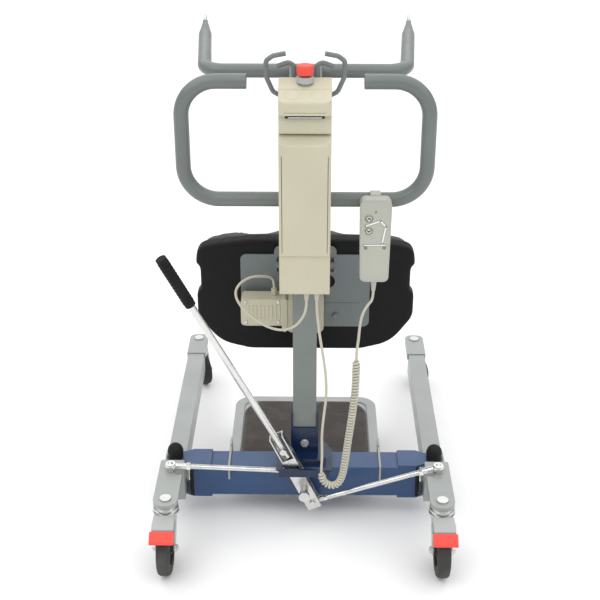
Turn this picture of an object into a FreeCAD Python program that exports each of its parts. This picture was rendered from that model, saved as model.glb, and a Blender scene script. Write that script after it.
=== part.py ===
"""Sit-to-stand patient lift, millimetres.

X points to the caregiver's right, Y forward to the patient, Z up from the floor.
The origin is on the floor under the middle of the lift's bounding box.
"""
import FreeCAD
import Part

import math
import os
import re

import Sketcher

Vector = FreeCAD.Vector

# ----------------------------------------------------------------- driving dimensions
# Each group is one area of the lift; every value is a plain number in the sheet.
DIMENSIONS = {
    # base
    "leg_x": 313, "beam_y": -165, "beam_len": 536, "beam_depth": 66, "beam_wall": 3,
    "beam_bottom": 53, "beam_top": 134, "flange_thick": 6, "flange_in": 225, "flange_round": 22,
    "pivot_pin_radius": 10, "pivot_gap": 0.05, "cap_radius": 18.5, "bumper_radius": 4.6,
    "bumper_x": 272.6, "bumper_y": -198,
    # legs
    "leg_width": 45, "leg_bottom": 68, "leg_top": 128, "leg_wall": 2.5, "leg_rear": -130,
    "leg_front": 377, "block_width": 52, "block_rear": -225, "block_bottom": 56, "block_top": 131,
    "plate_width": 56, "plate_bottom": 155, "plate_thick": 10, "web_thick": 8,
    "toe_rear": 366, "toe_sheet": 3, "toe_lip": 15, "swivel_head": 13,
    # rear casters
    "rear_swivel_y": -371, "rear_trail": 44, "rear_radius": 62.5, "rear_tread": 30,
    "rear_race": 30, "rear_gap": 40, "fork_sheet": 3, "axle_radius": 4, "pedal_z": 128.5,
    "pedal_rod": 2.2,
    # front casters
    "front_swivel_y": 453, "front_trail": 32, "front_radius": 44, "front_tread": 24,
    "front_race": 20, "front_gap": 32, "front_yaw": 25,
    # mast, socket and lever guide
    "mast_y": -147, "mast_width": 55, "mast_depth": 50, "mast_wall": 3, "mast_top": 1072,
    "socket_wall": 5, "socket_rear_top": 232, "socket_side_top": 270, "guide_top": 161,
    "guide_sheet": 4, "guide_half": 66, "guide_rear": -250, "guide_lip": 20, "slot_half": 51,
    "slot_rear": -244, "slot_front": -206,
    # spreader lever, in its own frame with the pivot at the origin
    "lever_tilt": 25, "lever_z": 98, "lever_y": -225, "lever_pin": 46, "channel_width": 34,
    "channel_depth": 24, "channel_sheet": 3, "channel_top": 158, "channel_low": 62,
    "channel_solid": 74, "lever_tube": 8, "lever_end": 699, "lever_lean": 9,
    "grip_radius": 12, "grip_length": 132,
    "lever_stud": 8, "rod_pin": 5, "rod_eye": 13, "rod_eye_gap": 3.6, "rod_eye_thick": 10,
    # tie rods
    "stud_y": -260, "stud_radius": 6, "ball_radius": 9, "ball_z": 179, "rod_radius": 6,
    # push handle
    "handle_y": -188, "handle_radius": 16, "handle_half": 258, "handle_bottom": 820,
    "handle_top": 1078, "handle_bend": 74, "handle_stub": 121, "tube_wall": 2.5,
    # control box, battery, stop button
    "box_half": 54, "box_front": -206, "box_rear": -284, "box_bottom": 636, "box_step": 728,
    "ledge_low": 973, "ledge_high": 992, "spine_rear": -246, "battery_gap": 0.4,
    "battery_shoulder": 1062, "box_peak": 1096, "stop_radius": 17, "stop_height": 24,
    "stop_ring": 12, "stop_y": -225, "stop_travel_gap": 5,
    # boom and actuator
    "boom_pivot_z": 1045, "boom_y": -100, "boom_z": 1076, "boom_half": 214, "boom_radius": 15,
    "boom_bend": 44, "boom_reach": 255, "boom_spread": 20, "boom_rise": 14, "cheek_in": 29.5,
    "cheek_sheet": 5, "boom_pin": 8, "ram_lever": 54, "ram_phase": 15, "ram_y": -98,
    "ram_low": 432, "ram_depth": 44, "ram_pin": 5.5, "ram_eye_bore": 11, "ram_eye": 17,
    "plug_x": -72, "plug_y": -96,
    # knee pad
    "knee_y": -66, "knee_travel": 15, "plate_half": 151, "plate_low": 447,
    "plate_high": 634, "shell_depth": 44, "pad_depth": 40,
    # footplate
    "foot_half": 187, "foot_front": 190, "foot_bar": 24, "foot_top": 95, "foot_rear": -112,
    "foot_corner": 46, "mat_thick": 5,
    # handset
    "handset_x": 150, "handset_top": 838, "handset_length": 190, "handset_width": 68,
    "handset_depth": 28, "handset_y": -238,
    # cords
    "cord_radius": 3, "curl_radius": 9,
}

doc = FreeCAD.newDocument("StandAssistLift")
sheet = doc.addObject("Spreadsheet::Sheet", "Dimensions")
for row, (alias, value) in enumerate(DIMENSIONS.items(), start=1):
    sheet.set(f"A{row}", alias.replace("_", " "))
    sheet.set(f"B{row}", str(value))
    sheet.setAlias(f"B{row}", alias)
doc.recompute()

ALIAS = re.compile(r"\b(" + "|".join(sorted(DIMENSIONS, key=len, reverse=True)) + r")\b")
NODES = {}


def dim(alias):
    """A value of the sheet, in millimetres or degrees."""
    return float(sheet.get(alias))


def linked(expression):
    """The expression with every alias pointed at the sheet."""
    return ALIAS.sub(r"Dimensions.\1", str(expression))


def bind(item, **sizes):
    for prop, expression in sizes.items():
        item.setExpression(prop.replace("__", "."), linked(expression))
    return item


def place(item, x, y, z):
    for axis, expression in zip("xyz", (x, y, z)):
        item.setExpression(f"Placement.Base.{axis}", linked(expression))
    return item


def node(name, item):
    """Name a finished sub-part; its Label is its file name."""
    item.Label = name
    NODES[name] = item
    return item


def box(low, size):
    """A Part::Box from its low corner and size, all of them expressions."""
    item = doc.addObject("Part::Box", "Block")
    bind(item, Length=size[0], Width=size[1], Height=size[2])
    return place(item, *low)


AXIS_TURN = {
    "x": FreeCAD.Rotation(Vector(0, 1, 0), 90),
    "y": FreeCAD.Rotation(Vector(1, 0, 0), -90),
    "z": FreeCAD.Rotation(),
}


def cylinder(axis, start, radius, length):
    """A Part::Cylinder from start along +axis."""
    item = doc.addObject("Part::Cylinder", "Round")
    bind(item, Radius=radius, Height=length)
    item.Placement.Rotation = AXIS_TURN[axis]
    return place(item, *start)


def cone(axis, start, radius_one, radius_two, length):
    item = doc.addObject("Part::Cone", "Taper")
    bind(item, Radius1=radius_one, Radius2=radius_two, Height=length)
    item.Placement.Rotation = AXIS_TURN[axis]
    return place(item, *start)


def ball(centre, radius):
    item = doc.addObject("Part::Sphere", "Ball")
    bind(item, Radius=radius)
    return place(item, *centre)


def fuse(*items):
    if len(items) == 1:
        return items[0]
    item = doc.addObject("Part::MultiFuse", "Joined")
    item.Shapes = list(items)
    item.Refine = True
    return item


def cut(base, *tools):
    item = doc.addObject("Part::Cut", "Cut")
    item.Base = base
    item.Tool = fuse(*tools)
    return item


def common(one, two):
    item = doc.addObject("Part::MultiCommon", "Shared")
    item.Shapes = [one, two]
    return item


def group(*items):
    """Separate solids that are one sub-part, such as a set of bolts."""
    item = doc.addObject("Part::Compound", "Set")
    item.Links = list(items)
    return item


def turned(item, centre, axis, degrees):
    """Turn a finished item about a line through centre."""
    turn = FreeCAD.Placement(Vector(), FreeCAD.Rotation(axis, degrees), centre)
    item.Placement = turn.multiply(item.Placement)
    return item


def rounded_edges(item, radii):
    """A Part::Fillet on edges of item, given as edge number: radius."""
    doc.recompute()
    fillet = doc.addObject("Part::Fillet", "Rounded")
    fillet.Base = item
    fillet.Edges = [(index, float(radius), float(radius)) for index, radius in radii.items()]
    return fillet


def solid_feature(name, shape):
    item = doc.addObject("Part::Feature", name)
    item.Shape = shape
    return item


# ------------------------------------------------------------------- sketched bodies
def origin_plane(body, role):
    return next(item for item in body.Origin.OriginFeatures if item.Role == role)


def sketched(role, name):
    body = doc.addObject("PartDesign::Body", name)
    sketch = body.newObject("Sketcher::SketchObject", name + "Outline")
    sketch.AttachmentSupport = (origin_plane(body, role), [""])
    sketch.MapMode = "FlatFace"
    return body, sketch


def rounded_polygon(points):
    """Line and arc edges for a closed outline of (u, v, corner radius) points."""
    corners = []
    count = len(points)
    for index, (u, v, radius) in enumerate(points):
        here = Vector(u, v, 0)
        before = Vector(*points[index - 1][:2], 0)
        after = Vector(*points[(index + 1) % count][:2], 0)
        back = (before - here).normalize()
        ahead = (after - here).normalize()
        if radius <= 0:
            corners.append((here, None, here))
            continue
        half = back.getAngle(ahead) / 2
        reach = radius / math.tan(half)
        centre = here + (back + ahead).normalize() * (radius / math.sin(half))
        middle = centre + (here - centre).normalize() * radius
        corners.append((here + back * reach, middle, here + ahead * reach))
    edges = []
    for index, (start, middle, end) in enumerate(corners):
        if middle is not None:
            edges.append(Part.Arc(start, middle, end))
        following = corners[(index + 1) % count][0]
        if (following - end).Length > 1e-6:
            edges.append(Part.LineSegment(end, following))
    return edges


def padded(name, role, points, length, start=0, holes=()):
    """A sketched plate: outline and round holes (u, v, radius) padded by a sheet length.

    On XZ_Plane a pad grows towards -Y, so those bodies are padded in reverse.
    """
    body, sketch = sketched(role, name)
    sketch.addGeometry(rounded_polygon(points), False)
    for u, v, radius in holes:
        sketch.addGeometry(Part.Circle(Vector(u, v, 0), Vector(0, 0, 1), radius), False)
    pad = body.newObject("PartDesign::Pad", name + "Pad")
    pad.Profile = sketch
    bind(pad, Length=length)
    pad.Reversed = role == "XZ_Plane"
    shift = {"XY_Plane": (0, 0, start), "XZ_Plane": (0, start, 0), "YZ_Plane": (start, 0, 0)}
    return place(body, *shift[role])


def rectangle(low_u, low_v, high_u, high_v, radius=0):
    return [(low_u, low_v, radius), (high_u, low_v, radius),
            (high_u, high_v, radius), (low_u, high_v, radius)]


# ------------------------------------------------------------------------- bent tubes
def bent_path(points, radii):
    """A wire of straight runs and tangent arcs through the route's points."""
    edges = []
    last = points[0]
    for index in range(1, len(points) - 1):
        here = points[index]
        back = (points[index - 1] - here).normalize()
        ahead = (points[index + 1] - here).normalize()
        half = back.getAngle(ahead) / 2
        radius = radii[index - 1]
        reach = radius / math.tan(half)
        start = here + back * reach
        end = here + ahead * reach
        centre = here + (back + ahead).normalize() * (radius / math.sin(half))
        middle = centre + (here - centre).normalize() * radius
        if (start - last).Length > 1e-6:
            edges.append(Part.LineSegment(last, start).toShape())
        edges.append(Part.Arc(start, middle, end).toShape())
        last = end
    edges.append(Part.LineSegment(last, points[-1]).toShape())
    return Part.Wire(edges)


def tube_along(path, radius, bore=0):
    """A round tube, or a solid rod when bore is 0, swept along the wire."""
    start = path.Edges[0].valueAt(path.Edges[0].FirstParameter)
    direction = path.Edges[0].tangentAt(path.Edges[0].FirstParameter)

    def swept(size):
        profile = Part.Wire([Part.Circle(start, direction, size).toShape()])
        return path.makePipeShell([profile], True, False)

    shape = swept(radius)
    if bore:
        shape = shape.cut(swept(bore))
    return shape


# --------------------------------------------------------------------------- the base
SIDES = ((-1, "left"), (1, "right"))


def build_crossbeam():
    low_y = "beam_y - beam_depth / 2"
    outer = box(("-beam_len / 2", low_y, "beam_bottom"),
                ("beam_len", "beam_depth", "beam_top - beam_bottom"))
    inner = box(("-beam_len / 2", low_y + " + beam_wall", "beam_bottom + beam_wall"),
                ("beam_len", "beam_depth - 2 * beam_wall",
                 "beam_top - beam_bottom - 2 * beam_wall"))
    flanges = [clevis_flange(side, height)
               for side, _ in SIDES
               for height in ("beam_top", "beam_bottom - flange_thick")]
    stud = cylinder("y", (0, "beam_y - beam_depth / 2 - 3", "lever_z"), "lever_stud + 4", 6)
    return node("base_crossbeam", fuse(cut(outer, inner), stud, *flanges))


def clevis_flange(side, height):
    """A plate that reaches from the beam's end round the leg's pivot pin."""
    half = dim("beam_depth") / 2
    nose = dim("flange_round")
    tip = dim("leg_x") + nose
    shoulder = dim("beam_len") / 2 + 2
    neck = shoulder + 22
    outline = [(dim("flange_in"), -half, 0), (shoulder, -half, 6), (neck, -nose, 20),
               (tip, -nose, nose - 0.1), (tip, nose, nose - 0.1), (neck, nose, 20),
               (shoulder, half, 6), (dim("flange_in"), half, 0)]
    outline = [(side * u, v + dim("beam_y"), r) for u, v, r in outline]
    hole = (side * dim("leg_x"), dim("beam_y"), dim("pivot_pin_radius"))
    return padded("ClevisFlange", "XY_Plane", outline, "flange_thick", height, [hole])


def build_pivot_hardware():
    """Pins fixed in the frame, and the rubber caps, bumpers and plugs pressed on it."""
    pins = [mast_bolt(), actuator_lower_pin(), boom_pivot_pin(), lever_stud()]
    rubber = handle_plugs()
    for side, _ in SIDES:
        x = f"{side} * leg_x"
        shank = cylinder("z", (x, "beam_y", "beam_bottom - flange_thick"), "pivot_pin_radius",
                         "beam_top - beam_bottom + 2 * flange_thick + 10")
        head = cylinder("z", (x, "beam_y", "beam_bottom - flange_thick - 7"), 15, 7)
        pins.append(fuse(shank, head))
        base = "beam_top + flange_thick"
        body = cylinder("z", (x, "beam_y", base), "cap_radius", "cap_radius")
        dome = ball((x, "beam_y", base + " + cap_radius"), "cap_radius")
        bead = cylinder("z", (x, "beam_y", base + " + cap_radius - 3"), "cap_radius + 0.8", 2.5)
        room = cylinder("z", (x, "beam_y", base + " - cap_radius"), "cap_radius - 4",
                        "cap_radius + 18")
        floor = box((x + " - 25", "beam_y - 25", base + " - cap_radius"), (50, 50, "cap_radius"))
        rubber.append(cut(fuse(body, dome, bead), room, floor))
        rubber.append(cylinder("z", (f"{side} * bumper_x", "bumper_y", "beam_bottom"),
                               "bumper_radius", "beam_top - beam_bottom"))
    node("pivot_pins", group(*pins))
    node("rubber_caps", group(*rubber))


def mast_bolt():
    face = "mast_y - mast_depth / 2 - socket_wall"
    return hex_bolt("y", (0, face, "socket_rear_top - 42"), 5, 8, -1)


def actuator_lower_pin():
    return cylinder("x", (-21, "ram_y", "ram_low"), "ram_pin", 42)


def boom_pivot_pin():
    pin = cylinder("x", ("-cheek_in - cheek_sheet - 3", "mast_y", "boom_pivot_z"), "boom_pin",
                   "2 * (cheek_in + cheek_sheet + 3)")
    washers = [cylinder("x", (x, "mast_y", "boom_pivot_z"), "boom_pin + 6", 3)
               for x in ("-cheek_in - cheek_sheet - 4", "cheek_in + cheek_sheet + 1")]
    return fuse(pin, *washers)


def lever_stud():
    """The fixed stud on the crossbeam's rear face that the lever turns on."""
    shank = cylinder("y", (0, "lever_y - 46", "lever_z"), "lever_stud",
                     "beam_y - beam_depth / 2 - 3 - lever_y + 46")
    nut = cylinder("y", (0, "lever_y - 46", "lever_z"), "lever_stud + 5", 8)
    spacer = cylinder("y", (0, "lever_y - 38", "lever_z"), "lever_stud + 2",
                      "38 - channel_depth / 2 - 0.5")
    return fuse(shank, nut, spacer)


def handle_plugs():
    return [cylinder("x", (x, "handle_y", "handle_top"), "handle_radius - tube_wall", 12)
            for x in ("-handle_stub - 13", "handle_stub + 1")]


def build_socket_and_guide():
    """The U socket that holds the mast, on the slotted plate that guides the lever."""
    low = "guide_top"
    outer = "mast_width / 2 + socket_wall"
    rear = "mast_y - mast_depth / 2 - socket_wall"
    parts = [box(("-(" + outer + ")", rear, low),
                 ("mast_width + 2 * socket_wall", "socket_wall", "socket_rear_top - guide_top"))]
    for x in ("-(" + outer + ")", "mast_width / 2"):
        parts.append(box((x, rear, low),
                         ("socket_wall", "mast_depth + socket_wall",
                          "socket_side_top - guide_top")))
    half = dim("guide_half")
    front = dim("beam_y") + dim("beam_depth") / 2
    guide_rear = dim("guide_rear")
    outline = [(-half, guide_rear, 6), (half, guide_rear, 6), (half, front - 34, 0),
               (half - 14, front, 0), (-half, front, 0)]
    plate = padded("GuidePlate", "XY_Plane", outline, "guide_sheet", "guide_top - guide_sheet")
    lip = box(("-guide_half + 6", "guide_rear", "guide_top - guide_lip"),
              ("2 * guide_half - 12", "guide_sheet", "guide_lip"))
    ribs = [box((x, "beam_y - beam_depth / 2", "beam_top"),
                (6, "beam_depth", "guide_top - guide_sheet - beam_top"))
            for x in ("-guide_half", "guide_half - 20")]
    slot = box(("-slot_half", "slot_rear", "guide_top - 2 * guide_sheet"),
               ("2 * slot_half", "slot_front - slot_rear", "2 * guide_sheet"))
    notch = box(("slot_half - 12", "slot_front - 1", "guide_top - 2 * guide_sheet"),
                (12, 10, "2 * guide_sheet"))
    bolt_hole = cylinder("y", (0, rear + " - 1", "socket_rear_top - 42"), 5, 10)
    bracket = cut(fuse(plate, lip, *parts, *ribs), slot, notch, bolt_hole)
    node("mast_socket", bracket)


def hex_bolt(axis, start, radius, length, way):
    """A hexagon head with a washer on the start face and its shank going into the part."""
    outline = [(radius * 1.75 * math.cos(k * math.pi / 3),
                radius * 1.75 * math.sin(k * math.pi / 3), 0) for k in range(6)]
    body = padded("HexHead", "XY_Plane", outline, radius * 1.2)
    body.Placement.Rotation = AXIS_TURN[axis]
    offset = 2 if way > 0 else -2 - radius * 1.2
    shift = {"x": (offset, 0, 0), "y": (0, offset, 0), "z": (0, 0, offset)}[axis]
    place(body, *[f"({s}) + {d}" for s, d in zip(start, shift)])
    low = 0 if way > 0 else -2
    into = -length if way > 0 else 0
    unit = {"x": (1, 0, 0), "y": (0, 1, 0), "z": (0, 0, 1)}[axis]
    washer = cylinder(axis, [f"({s}) + {u * low}" for s, u in zip(start, unit)], radius * 2, 2)
    shank = cylinder(axis, [f"({s}) + {u * into}" for s, u in zip(start, unit)], radius, length)
    return fuse(body, washer, shank)


def build_mast():
    low = ("-mast_width / 2", "mast_y - mast_depth / 2", "guide_top")
    outer = box(low, ("mast_width", "mast_depth", "mast_top - guide_top"))
    inner = box(("-mast_width / 2 + mast_wall", "mast_y - mast_depth / 2 + mast_wall",
                 "guide_top - 1"),
                ("mast_width - 2 * mast_wall", "mast_depth - 2 * mast_wall",
                 "mast_top - guide_top - mast_wall + 1"))
    cross = cylinder("x", ("-mast_width", "mast_y", "boom_pivot_z"), "boom_pin",
                     "2 * mast_width")
    bolt = cylinder("y", (0, "mast_y - mast_depth", "socket_rear_top - 42"), 5, "mast_depth")
    ears = [box((x, "mast_y + mast_depth / 2", "ram_low - 20"), (5, 44, 40))
            for x in (-17, 12)]
    ears += [box((-22, "box_front", z), (44, "mast_y - mast_depth / 2 - box_front", 40))
             for z in (660, 900)]
    ear_hole = cylinder("x", (-30, "ram_y", "ram_low"), "ram_pin", 60)
    node("mast", cut(fuse(outer, *ears), inner, cross, bolt, ear_hole))


# -------------------------------------------------------------------------- push handle
def build_push_handle():
    y = dim("handle_y")
    half = dim("handle_half")
    low = dim("handle_bottom")
    high = dim("handle_top")
    stub = dim("handle_stub")
    route = [Vector(-stub, y, high), Vector(-half, y, high), Vector(-half, y, low),
             Vector(half, y, low), Vector(half, y, high), Vector(stub, y, high)]
    path = bent_path(route, [dim("handle_bend")] * 4)
    radius = dim("handle_radius")
    node("push_handle", solid_feature("PushHandle",
                                      tube_along(path, radius, radius - dim("tube_wall"))))
    ring = cylinder("x", (-50, "handle_y", "handle_bottom"), "handle_radius + 2", 100)
    web = box((-24, "handle_y", "handle_bottom - 16"),
              (48, "mast_y - mast_depth / 2 - handle_y", 32))
    bore = cylinder("x", (-80, "handle_y", "handle_bottom"), "handle_radius", 160)
    behind = box((-90, "mast_y - mast_depth / 2", "handle_bottom - 40"), (180, 30, 80))
    node("handle_saddle", cut(fuse(ring, web), bore, behind))


def build_sling_rods():
    """Bent wire hooks at the mast top that hold the sling's straps when it is stored."""
    y = -200.9
    rods = []
    for side, _ in SIDES:
        large = [Vector(side * 46, y, 1050), Vector(side * 66, y, 1060),
                 Vector(side * 79, y, 1090), Vector(side * 80, y, 1124),
                 Vector(side * 66, y, 1134), Vector(side * 40, y - 4, 1140)]
        small = [Vector(side * 23, y + 2, 1060), Vector(side * 23, y + 2, 1114),
                 Vector(side * 34, y + 2, 1121), Vector(side * 58, y - 2, 1113)]
        for route, bends in ((large, [16, 18, 11, 16]), (small, [9, 14])):
            rods.append(tube_along(bent_path(route, bends), 5))
    bar = Part.makeBox(100, 8, 12, Vector(-50, y - 3, 1048))
    shape = bar
    for rod in rods:
        shape = shape.fuse(rod)
    plate = Part.makeBox(40, 24.9, 12, Vector(-20, y + 4, 1048))
    node("sling_storage_rods", solid_feature("SlingRods", shape.fuse(plate)))


# -------------------------------------------------------------- control box and battery
def build_control_box():
    front = dim("box_front")
    rear = dim("box_rear")
    spine = dim("spine_rear")
    slope = (dim("box_peak") - dim("battery_shoulder")) / (front - rear)
    spine_top = dim("battery_shoulder") + slope * (spine - rear)
    outline = [(front, dim("box_bottom"), 5), (rear + 4, dim("box_bottom"), 5),
               (rear + 4, dim("box_step"), 0), (rear, dim("box_step"), 1.5),
               (rear - 6, dim("ledge_low"), 4), (spine - 8, dim("ledge_high"), 0),
               (spine, dim("ledge_high"), 0), (spine, spine_top, 0),
               (front, dim("box_peak"), 6)]
    profile = padded("ControlBox", "YZ_Plane", outline, "2 * box_half", "-box_half")
    shell = common(profile, rounded_column(rear - 6, "box_bottom", 14))
    grooves = [box((x, "box_rear - 20", "box_step + 8"), (1.2, 24, "ledge_low - box_step - 30"))
               for x in ("-box_half + 6", "box_half - 7.2")]
    seat = cylinder("z", (0, "stop_y", "box_peak - 30"), "stop_radius - 5", 60)
    recess = cylinder("z", (0, "stop_y", "box_peak - 9"), "stop_radius + 1", 40)
    node("control_box", cut(shell, *grooves, seat, recess))
    ring = cylinder("z", (0, "stop_y", "box_peak - 22"), "stop_radius - 5", 22)
    rim = cone("z", (0, "stop_y", "box_peak - 9"), "stop_radius + 1", "stop_radius - 0.5",
               "stop_ring")
    hole = cylinder("z", (0, "stop_y", "box_peak - 16"), 8, 40)
    node("stop_button_collar", cut(fuse(ring, rim), hole))
    stem = cylinder("z", (0, "stop_y", "box_peak - 10"), 7.6, 24)
    lift = "box_peak + stop_ring - 9 + stop_travel_gap"
    cap = cylinder("z", (0, "stop_y", lift), "stop_radius", "stop_height - stop_travel_gap")
    head = rounded_edges(cap, {3: 5})
    node("stop_button", fuse(stem, head))


def rounded_column(rear, low, radius):
    """A column as wide as the box whose rear edges are rounded."""
    half = dim("box_half")
    outline = [(-half, rear, radius), (half, rear, radius), (half, dim("box_front"), 0),
               (-half, dim("box_front"), 0)]
    return padded("RoundedColumn", "XY_Plane", outline, f"box_peak - {low} + 5", low)


def build_battery():
    """The pack that lifts off the ledge, with a finger recess across its rear face."""
    rear = dim("box_rear")
    spine = dim("spine_rear") - dim("battery_gap")
    front = dim("box_front")
    slope = (dim("box_peak") - dim("battery_shoulder")) / (front - rear)
    low = dim("ledge_high") + dim("battery_gap")
    top = dim("battery_shoulder") + slope * (spine - rear)
    outline = [(spine, low, 0), (rear + 14, low, 3), (rear + 14, low + 12, 4),
               (rear + 16, low + 40, 4), (rear, low + 42, 2),
               (rear, dim("battery_shoulder"), 8), (spine, top, 0)]
    profile = padded("Battery", "YZ_Plane", outline, "2 * box_half - 1", "-box_half + 0.5")
    pack = common(profile, rounded_column(rear, "ledge_high", 14))
    slot = box((-40, "box_rear - 5", "ledge_high + 33"), (80, 30, 8))
    seam = box(("-box_half - 1", "box_rear - 1", "ledge_high + 48"),
               ("2 * box_half + 2", 1.8, 1.2))
    node("battery_pack", cut(pack, slot, seam))


# ---------------------------------------------------------------------- spreader lever
def build_lever():
    """Everything is built upright about the pivot, then tilted to the side as one."""
    centre = Vector(0, dim("lever_y"), dim("lever_z"))
    side_axis = Vector(0, 1, 0)
    tilt = -dim("lever_tilt")
    rear = "lever_y - channel_depth / 2"
    outer = box(("-channel_width / 2", rear, "lever_z - channel_low"),
                ("channel_width", "channel_depth", "channel_top + channel_low"))
    fork = box(("-channel_width / 2 - 1", rear + " + channel_sheet",
                "lever_z - channel_low - 1"),
               ("channel_width + 2", "channel_depth - 2 * channel_sheet",
                "channel_low + channel_solid + 1"))
    trough = box(("-channel_width / 2 + channel_sheet", rear + " - 1",
                  "lever_z + channel_solid + 16"),
                 ("channel_width - 2 * channel_sheet", "channel_depth - channel_sheet + 1",
                  "channel_top"))
    bores = [cylinder("y", (0, rear + " - 5", "lever_z"), "lever_stud + pivot_gap", 40)]
    bores += [cylinder("y", (0, rear + " - 5", z), "rod_pin", 40)
              for z in ("lever_z - lever_pin", "lever_z + lever_pin", "lever_z + 118")]
    channel = cut(outer, fork, trough, *bores)
    node("lever_channel", turned(channel, centre, side_axis, tilt))
    foot = centre + Vector(0, 1, 94)
    lean = dim("lever_lean")
    length = (dim("lever_end") - 94) / math.cos(math.radians(lean))
    outside = cylinder("z", (0, "lever_y + 1", "lever_z + 94"), "lever_tube", length)
    hollow = cylinder("z", (0, "lever_y + 1", "lever_z + 94"), "lever_tube - 2", length)
    tube = turned(cut(outside, hollow), foot, Vector(1, 0, 0), lean)
    cross = cylinder("y", (0, rear + " - 5", "lever_z + 118"), "rod_pin", 40)
    node("lever_tube", turned(cut(tube, cross), centre, side_axis, tilt))
    start = dim("lever_z") + 94 + length - dim("grip_length") + 8
    sleeve = cylinder("z", (0, "lever_y + 1", start), "grip_radius", "grip_length")
    ribs = [cylinder("z", (0, "lever_y + 1", start + 10 + 9 * k), "grip_radius + 0.8", 4)
            for k in range(13)]
    room = cylinder("z", (0, "lever_y + 1", start - 1), "lever_tube", "grip_length - 7")
    grip = turned(cut(fuse(sleeve, *ribs), room), foot, Vector(1, 0, 0), lean)
    node("lever_grip", turned(fuse(grip), centre, side_axis, tilt))
    pins = []
    for z in ("lever_z - lever_pin", "lever_z + lever_pin", "lever_z + 118"):
        shank = cylinder("y", (0, rear + " - 3", z), "rod_pin", "channel_depth + 6")
        head = cylinder("y", (0, rear + " - 6", z), "rod_pin + 3", 6)
        pins.append(fuse(shank, head))
    node("lever_pins", turned(group(*pins), centre, side_axis, tilt))


# --------------------------------------------------------------------------------- legs
def build_leg(side, name):
    """The leg tube, its pivot block and the raised plate over the rear caster."""
    x = dim("leg_x") * side
    half = dim("leg_width") / 2
    low = (f"{x} - leg_width / 2", "leg_rear", "leg_bottom")
    tube = box(low, ("leg_width", "leg_front - leg_rear", "leg_top - leg_bottom"))
    inner = box((f"{x} - leg_width / 2 + leg_wall", "leg_rear - 1", "leg_bottom + leg_wall"),
                ("leg_width - 2 * leg_wall", "leg_front - leg_rear - leg_wall + 1",
                 "leg_top - leg_bottom - 2 * leg_wall"))
    block = box((f"{x} - block_width / 2", "block_rear + web_thick", "block_bottom"),
                ("block_width", "leg_rear - block_rear - web_thick", "block_top - block_bottom"))
    web = box((f"{x} - block_width / 2", "block_rear", "block_bottom"),
              ("block_width", "web_thick", "plate_bottom - block_bottom"))
    bore = cylinder("z", (x, "beam_y", "block_bottom - 1"), "pivot_pin_radius + pivot_gap", 100)
    round_end = dim("plate_width") / 2
    swivel = dim("rear_swivel_y")
    front = dim("block_rear") + dim("web_thick")
    rear = swivel - round_end
    outline = [(x - round_end, rear, round_end - 0.1), (x + round_end, rear, round_end - 0.1),
               (x + round_end, front, 4), (x - round_end, front, 4)]
    holes = [(x, swivel, 6.05), (x, dim("stud_y"), dim("stud_radius"))]
    inner_edge = x - side * round_end
    notch = box((min(inner_edge, inner_edge + side * 18), "stud_y - 16", "plate_bottom - 1"),
                (18, 32, "plate_thick + 2"))
    plate = padded("RearPlate", "XY_Plane", outline, "plate_thick", "plate_bottom", holes)
    node(f"leg_{name}", cut(fuse(cut(tube, inner), block, web, plate), bore, notch))
    toe_rear = dim("toe_rear")
    toe_half = half + dim("toe_sheet") + 0.2
    centre = dim("front_swivel_y")
    front = centre + toe_half
    outline = [(x - toe_half, toe_rear, 0), (x + toe_half, toe_rear, 0),
               (x + toe_half, front, toe_half - 6), (x - toe_half, front, toe_half - 6)]
    cap = padded("ToeCap", "XY_Plane", outline, "toe_lip + toe_sheet", "leg_top - toe_lip",
                 [(x, centre, 5.05)])
    room = box((f"{x} - leg_width / 2 - 0.2", "toe_rear - 1", "leg_top - toe_lip - 1"),
               ("leg_width + 0.4", "front_swivel_y - toe_rear - 1", "toe_lip + 1"))
    well = cylinder("z", (x, "front_swivel_y", "leg_top - toe_lip - 1"), "leg_width / 2 + 0.2",
                    "toe_lip + 1")
    node(f"leg_toe_{name}", cut(cap, room, well))
    shank = cylinder("z", (x, "stud_y", "plate_bottom - 8"), "stud_radius",
                     "ball_z - plate_bottom + 8")
    nut = cylinder("z", (x, "stud_y", "plate_bottom - 6"), "stud_radius + 4", 6)
    shoulder = cylinder("z", (x, "stud_y", "plate_bottom + plate_thick"), "stud_radius + 1.5", 2)
    knob = ball((x, "stud_y", "ball_z"), "ball_radius")
    node(f"ball_stud_{name}", fuse(shank, nut, shoulder, knob))


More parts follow.
